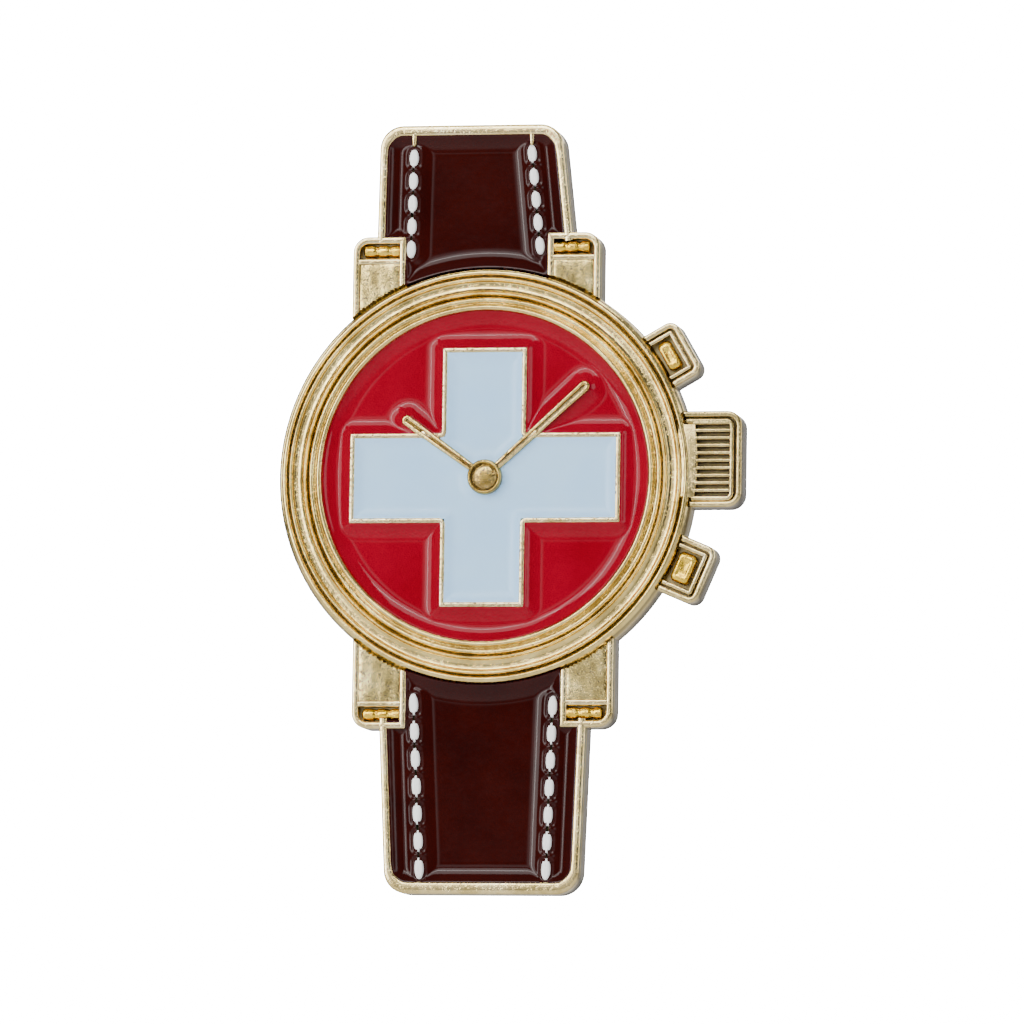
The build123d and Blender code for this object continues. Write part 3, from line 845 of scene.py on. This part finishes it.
# pushers: two walls round a dimpled block, each pusher turned about the dial's axis
BLOCK_RINGS = [
    (0.0, RIM - 0.6), (0.0, RIM - 0.30), (0.03, RIM - 0.20), (0.09, RIM - 0.12), (0.18, RIM - 0.08),
    (0.27, RIM - 0.08), (0.34, RIM - 0.13), (0.42, RIM - 0.15)]
pusher_blocks = []
for name, pusher, block in zip(("pusher_upper", "pusher_lower"), PUSHERS, BLOCKS):
    angle, out, low, high = pusher
    turn = math.radians(angle)
    u = np.array((math.cos(turn), math.sin(turn)))
    t = np.array((-math.sin(turn), math.cos(turn)))

    def turned_rect(x, z):
        return [tuple(u * p[0] + t * p[1]) for p in rect_points(x, z)]

    outline = rounded_polygon(turned_rect((PUSHER_START, out), (low, high)), (0, 0.55, 0.55, 0), 10)
    parts = [ribbon(name, fine_outline(outline), wall_profile(0.32, RIM, RIM - 0.5, 0.10), dip=1.55)]
    inner = rounded_polygon(
        turned_rect((PUSHER_START, out - 0.40), (low + 0.40, high - 0.40)), (0, 0.16, 0.16, 0), 5)
    inner_wall = wall_profile(0.22, RIM - 0.05, RIM - 0.6, 0.07, outer_foot=RIM - 0.6)
    parts.append(ribbon(name + "_inner", fine_outline(inner), inner_wall, dip=1.24))
    gold_pieces.append(join(name, parts))
    block_line = rounded_polygon(turned_rect(*block), [0.24] * 4, 6)
    pusher_blocks.append(raised_block(name + "_block", block_line, BLOCK_RINGS))

# metal stubs from the top rim to the first upper stitches
STUB = [(0.13, FLOOR), (0.0, FLOOR), (0.0, RIM - 0.12), (0.02, RIM - 0.06), (0.06, RIM - 0.025), (0.13, RIM - 0.02)]
for x in (-3.88, 2.15):
    gold_pieces.append(capsule("stitch_stub", (x, 17.35), (x, 16.80), 0.14, 0.11, lambda _: STUB, 8, 6))


def plate_outline():
    """Outline of the CAD plate's back face, anticlockwise."""
    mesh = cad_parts["badge_plate"].data
    back = [p for p in mesh.polygons if p.normal.y > 0.99 and abs(p.center.y) < 1e-5]
    corners = [[tuple(round(c / MM, 4) for c in mesh.vertices[v].co) for v in p.vertices] for p in back]
    follow = dict(border_edges(corners))
    start = next(iter(follow))
    loop = [start]
    while follow[loop[-1]] != start and len(loop) <= len(follow):
        loop.append(follow[loop[-1]])
    line = np.array([(p[0], p[2]) for p in loop])
    keep = [i for i in range(len(line)) if np.linalg.norm(line[i] - line[i - 1]) > 0.01]
    return anticlockwise(line[keep])


# slab under everything, with the outline of the CAD plate's back
SLAB_LEVELS = ((0.13, 0.0), (0.05, 0.03), (0.03, 0.10), (0.03, 1.20))  # (inset, height)
plate_line = plate_outline()
plate_inward = inward(plate_line, True, 0.5)
points = []
for inset, height in SLAB_LEVELS:
    points += [(p[0], -height, p[1]) for p in plate_line + plate_inward * inset]
slab = mesh_object("plate_slab", points, capped_faces(len(SLAB_LEVELS), len(plate_line)), 30.0)

paint(join("badge_casting", gold_pieces), GOLD_RIM)
paint(bezel, GOLD_BEZEL)
paint(crown, GOLD_CROWN)
paint(join("dial_outlines", cross_pieces), GOLD_CROSS)
paint(join("hands", hand_pieces), GOLD_HAND)
paint(hub, GOLD_HUB)
paint(slab, GOLD_BACK)
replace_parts(slab, "badge_plate")
paint(join("lug_hollows", lug_floors), GOLD_LUG)
paint(join("lug_bars", lug_bars + pusher_blocks), GOLD_DEEP)


# ------------------------------------------------------------------ enamel
CROSS_INSIDE = offset_polygon(CROSS_LINE, -WALL)
FAR = 9.0                 # a distance beyond every wall


def red_walls(px, pz):
    return [
        FIELD_R - np.hypot(px, pz),
        -polygon_distance(px, pz, CROSS_LINE),
        capsule_distance(px, pz, *HOUR),
        capsule_distance(px, pz, *MINUTE)]


def white_walls(px, pz):
    return [
        polygon_distance(px, pz, CROSS_INSIDE),
        np.hypot(px - HUB_C[0], pz - HUB_C[1]) - HUB_R,
        capsule_distance(px, pz, *HOUR),
        capsule_distance(px, pz, *MINUTE)]


def between_hands(px, pz):
    """True in the wedge between the hands, above the hub."""
    x, z = px - HUB_C[0], pz - HUB_C[1]
    h, m = HOUR_TIP - HUB_C, MINUTE_TIP - HUB_C
    return (h[0] * z - h[1] * x < 0) & (m[0] * z - m[1] * x > 0)


def white_top_walls(px, pz):
    return white_walls(px, pz) + [np.where(between_hands(px, pz), FAR, -FAR)]


def white_low_walls(px, pz):
    return white_walls(px, pz) + [np.where(between_hands(px, pz), -FAR, FAR)]


RED_POOL = dict(dent=None, level=1.50, climb=0.31, reach=0.95, step=0.06)
WHITE_POOL = dict(dent=None, level=1.62, climb=0.20, reach=0.70, step=0.06)
STRAP_POOL = dict(level=1.48, climb=0.33, reach=0.95, step=0.05)

red = enamel("red_enamel", (-8.4, 8.4, -8.4, 8.4), red_walls, **RED_POOL)
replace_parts(paint(red, RED), "dial_red_enamel")
top = enamel("white_enamel_top", (-4.0, 4.0, -0.5, 6.4), white_top_walls, **WHITE_POOL)
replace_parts(paint(top, WHITE), "cross_white_enamel_top")
low = enamel("white_enamel_low", (-6.8, 6.8, -6.5, 2.1), white_low_walls, **WHITE_POOL)
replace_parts(paint(low, WHITE), "cross_white_enamel_low")


def stitch_bars(name):
    """End points of the straight core of each stitch in a row."""
    first, last, count, size = STITCHES[name]
    a, b = np.array(first, float), np.array(last, float)
    along = (b - a) / np.linalg.norm(b - a)
    half = (size - STITCH_W) / 2
    middles = [a + (b - a) * i / (count - 1) for i in range(count)]
    return [(mid - along * half, mid + along * half) for mid in middles]


def strap_walls(which):
    """The distances and the dent that enamel() takes, for one strap end.

    The surface climbs a thin seam along each row of stitches and dips round every stitch.
    """
    strap, neck = (STRAP_UP, NECK_UP) if which == "upper" else (STRAP_LOW, NECK_LOW)
    lip = 0.10 if which == "upper" else -0.06
    cell = [strap[1], strap[2], (strap[3][0], strap[3][1] - lip), (neck[2][0], strap[3][1] - lip), neck[3],
            neck[0], (neck[1][0], strap[0][1] - lip), (strap[0][0], strap[0][1] - lip)]
    cell = rounded_polygon(cell, (STRAP_CORNER, STRAP_CORNER, 0, 0, 0, 0, 0, 0), 8)
    rows = [stitch_bars(which + "_left"), stitch_bars(which + "_right")]
    seam = 0.13

    def walls(px, pz):
        near = [capsule_distance(px, pz, row[0][0], row[-1][1], seam, seam) for row in rows]
        return [polygon_distance(px, pz, cell), np.hypot(px, pz) - BEZEL_R] + near

    def dent(px, pz):
        near = [capsule_distance(px, pz, a, b, STITCH_W / 2, STITCH_W / 2) for row in rows for a, b in row]
        return 0.11 * np.exp(-((np.minimum.reduce(near) - 0.03) / 0.075) ** 2)

    return walls, dent


upper = enamel("strap_upper", (-5.5, 4.2, 9.3, 17.4), *strap_walls("upper"), **STRAP_POOL)
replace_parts(paint(upper, BROWN), "strap_enamel_upper")
lower = enamel("strap_lower", (-5.1, 5.2, -20.5, -9.3), *strap_walls("lower"), **STRAP_POOL)
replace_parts(paint(lower, BROWN), "strap_enamel_lower")

STITCH_RINGS = (  # (scale, height) from the cell's floor to the crown of the oval
    (1.0, FLOOR), (1.0, STITCH_TOP - 0.17), (0.985, STITCH_TOP - 0.11), (0.93, STITCH_TOP - 0.055),
    (0.83, STITCH_TOP - 0.015), (0.68, STITCH_TOP + 0.012), (0.48, STITCH_TOP + 0.028),
    (0.25, STITCH_TOP + 0.036), (0.03, STITCH_TOP + 0.038))
STITCH_SIDES = 48
STITCH_POWER = 0.88       # under 1 the oval is a little fuller than an ellipse


def oval(a, b):
    """One stitch: a raised oval over its cell, with a steep foot."""
    along = (b - a) / np.linalg.norm(b - a)
    left = np.array((-along[1], along[0]))
    mid = (a + b) / 2
    half = np.linalg.norm(b - a) / 2 + STITCH_W / 2
    points = []
    for scale, height in STITCH_RINGS:
        for i in range(STITCH_SIDES):
            t = 2 * math.pi * i / STITCH_SIDES
            c, n = math.cos(t), math.sin(t)
            q = mid + along * half * scale * math.copysign(abs(c) ** STITCH_POWER, c)
            q = q + left * (STITCH_W / 2) * scale * math.copysign(abs(n) ** STITCH_POWER, n)
            points.append((q[0], -height, q[1]))
    return mesh_object("stitch", points, capped_faces(len(STITCH_RINGS), STITCH_SIDES, low_first=False), 70.0)


for name in STITCHES:
    row = join("stitch_row_" + name, [oval(a, b) for a, b in stitch_bars(name)])
    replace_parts(paint(row, STITCH), "stitches_" + name)

# ------------------------------------------------------------------ posts and clutches
y = CLUTCH_Y
CUP = [
    (0.72, y + 0.02), (0.80, y), (1.5, y), (2.0, y + 0.02), (2.5, y), (5.30, y), (5.55, y + 0.05),
    (5.70, y + 0.16), (5.75, y + 0.34), (5.75, y + 1.20), (5.73, y + 1.40), (5.64, y + 1.54), (5.48, y + 1.60),
    (5.20, y + 1.60), (4.95, y + 1.56), (4.85, y + 1.47), (4.86, y + 1.36), (5.0, y + 1.30), (5.22, y + 1.26),
    (5.30, y + 1.15), (5.30, y + 0.50), (5.22, y + 0.42), (5.1, y + 0.40), (0.80, y + 0.40), (0.72, y + 0.37)]
for body, z in (("upper", POST_Z), ("lower", -POST_Z)):
    for node in ("_post", "_post_flange"):
        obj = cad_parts[body + node]
        dress(obj, POST)
        shade(obj, 30.0)

    cup = lathe(body + "_cup_shell", CUP, (0.0, z), 128, 40.0, y_axis=True)
    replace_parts(paint(cup, CLUTCH, body + "_cup"), body + "_clutch_cup")

    for node in ("_clutch_clip", "_clutch_tongue_wing", "_clutch_window_wing"):
        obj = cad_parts[body + node]
        dress(obj, CLUTCH)
        soften = obj.modifiers.new("soften", "BEVEL")
        soften.width = 0.06 * MM
        soften.segments = 2
        soften.limit_method = "ANGLE"
        soften.angle_limit = math.radians(40)
        shade(obj, 35.0)

# ------------------------------------------------------------------ floor, light and camera
FLOOR_SIZE, FLOOR_Z = 3000, -75
floor_points = [(x, z, FLOOR_Z) for x, z in rect_points((-FLOOR_SIZE, FLOOR_SIZE), (-FLOOR_SIZE, FLOOR_SIZE))]
floor = mesh_object("floor", floor_points, [(0, 1, 2, 3)])
floor_mat, floor_bsdf = material("floor_pale")
paper = noise(floor_mat, 0.02, 3.0)
tone = ramp(floor_mat, paper.outputs["Fac"], [(0.3, (0.60, 0.60, 0.60)), (0.7, (0.64, 0.64, 0.64))])
link(floor_mat, tone.outputs["Color"], floor_bsdf.inputs["Base Color"])
floor_bsdf.inputs["Roughness"].default_value = 0.9
floor.data.materials.append(floor_mat)

NEUTRAL = (1, 1, 1)
WARM = (1.0, 0.99, 0.97)


def studio_light(name, azimuth, elevation, distance, size, radiance, colour=NEUTRAL):
    """Soft box seen from the pin at this azimuth (from the face's normal, + to the right)."""
    az, el = math.radians(azimuth), math.radians(elevation)
    at = distance * np.array((math.sin(az) * math.cos(el), -math.cos(az) * math.cos(el), math.sin(el)))
    data = bpy.data.lights.new(name, "AREA")
    data.shape = "RECTANGLE"
    data.size, data.size_y = size[0] * MM, size[1] * MM
    data.energy = radiance * math.pi * size[0] * size[1] * MM * MM
    data.color = colour
    obj = bpy.data.objects.new(name, data)
    obj.location = Vector(at) * MM
    obj.rotation_euler = Vector(-at).to_track_quat("-Z", "Y").to_euler()
    bpy.context.scene.collection.objects.link(obj)


studio_light("left_box", -37, 11, 320, (140, 230), 6.4, WARM)
studio_light("left_strip", -35, 11, 310, (16, 200), 20.0, WARM)
studio_light("top_box", -8, 33, 320, (210, 130), 5.9, WARM)
studio_light("top_strip", -8, 31, 310, (200, 16), 18.0, WARM)
studio_light("right_box", 44, 8, 320, (30, 180), 4.4, (0.96, 0.98, 1.0))
studio_light("low_box", -8, -46, 320, (160, 24), 3.2, (0.98, 0.99, 1.0))
studio_light("left_far", -104, 20, 320, (120, 240), 4.5)
studio_light("sky_panel", 0, 98, 320, (300, 140), 6.5)
studio_light("right_wall", 92, 12, 320, (160, 220), 3.6)
studio_light("rear", 150, 35, 330, (220, 200), 3.0)

# the room is white behind the pin, and grey where its gloss reflects it, with one bright
# ring about the direction that the flat face mirrors
MIRRORED = (-0.19, -0.976, 0.105)
ROOM = (  # (0 opposite to MIRRORED and 1 along it, brightness)
    (0.0, 0.45), (0.45, 0.40), (0.62, 0.34), (0.75, 0.28), (0.883, 0.16), (0.970, 0.10), (0.984, 0.12),
    (0.988, 2.3), (0.9955, 2.3), (0.9982, 0.02), (1.0, 0.02))
world = bpy.data.worlds.new("studio")
bpy.context.scene.world = world
world.use_nodes = True
world.node_tree.nodes.clear()
out = add(world, "ShaderNodeOutputWorld")
backdrop = add(world, "ShaderNodeBackground")
backdrop.inputs["Color"].default_value = (1, 1, 1, 1)
backdrop.inputs["Strength"].default_value = 30.0
room = add(world, "ShaderNodeBackground")
room.inputs["Strength"].default_value = 1.0
coord = add(world, "ShaderNodeTexCoord")
facing = add(world, "ShaderNodeVectorMath", operation="DOT_PRODUCT")
facing.inputs[1].default_value = MIRRORED
link(world, coord.outputs["Generated"], facing.inputs[0])
sky = ramp(world, remap(world, facing.outputs["Value"], -1, 1, 0, 1), [(at, (v, v, v)) for at, v in ROOM])
link(world, sky.outputs["Color"], room.inputs["Color"])
path = add(world, "ShaderNodeLightPath")
mix = add(world, "ShaderNodeMixShader")
link(world, path.outputs["Is Camera Ray"], mix.inputs[0])
link(world, room.outputs[0], mix.inputs[1])
link(world, backdrop.outputs[0], mix.inputs[2])
link(world, mix.outputs[0], out.inputs[0])

# camera: to the crown side and a little below, as a close-up of a badge
AZIMUTH, ELEVATION, ROLL = 11.0, -6.0, 0.9
DISTANCE = 400.0
VIEW_WIDTH = 51.2         # millimetres across the view at the target
SENSOR = 36
TARGET = Vector((1.442, -1.8, -1.849))
a, e, roll = (math.radians(v) for v in (AZIMUTH, ELEVATION, ROLL))
back = Vector((math.sin(a) * math.cos(e), -math.cos(a) * math.cos(e), math.sin(e)))
right = (-back).cross(Vector((0, 0, 1))).normalized()
up = right.cross(-back)
cam_x = math.cos(roll) * right + math.sin(roll) * up
cam_y = -math.sin(roll) * right + math.cos(roll) * up
data = bpy.data.cameras.new("camera")
data.sensor_width = SENSOR
data.lens = SENSOR * DISTANCE / VIEW_WIDTH
data.clip_start = 0.01
camera = bpy.data.objects.new("camera", data)
camera.matrix_world = Matrix.Translation((TARGET + back * DISTANCE) * MM) @ Matrix(
    (cam_x, cam_y, back)).transposed().to_4x4()
bpy.context.scene.collection.objects.link(camera)
bpy.context.scene.camera = camera
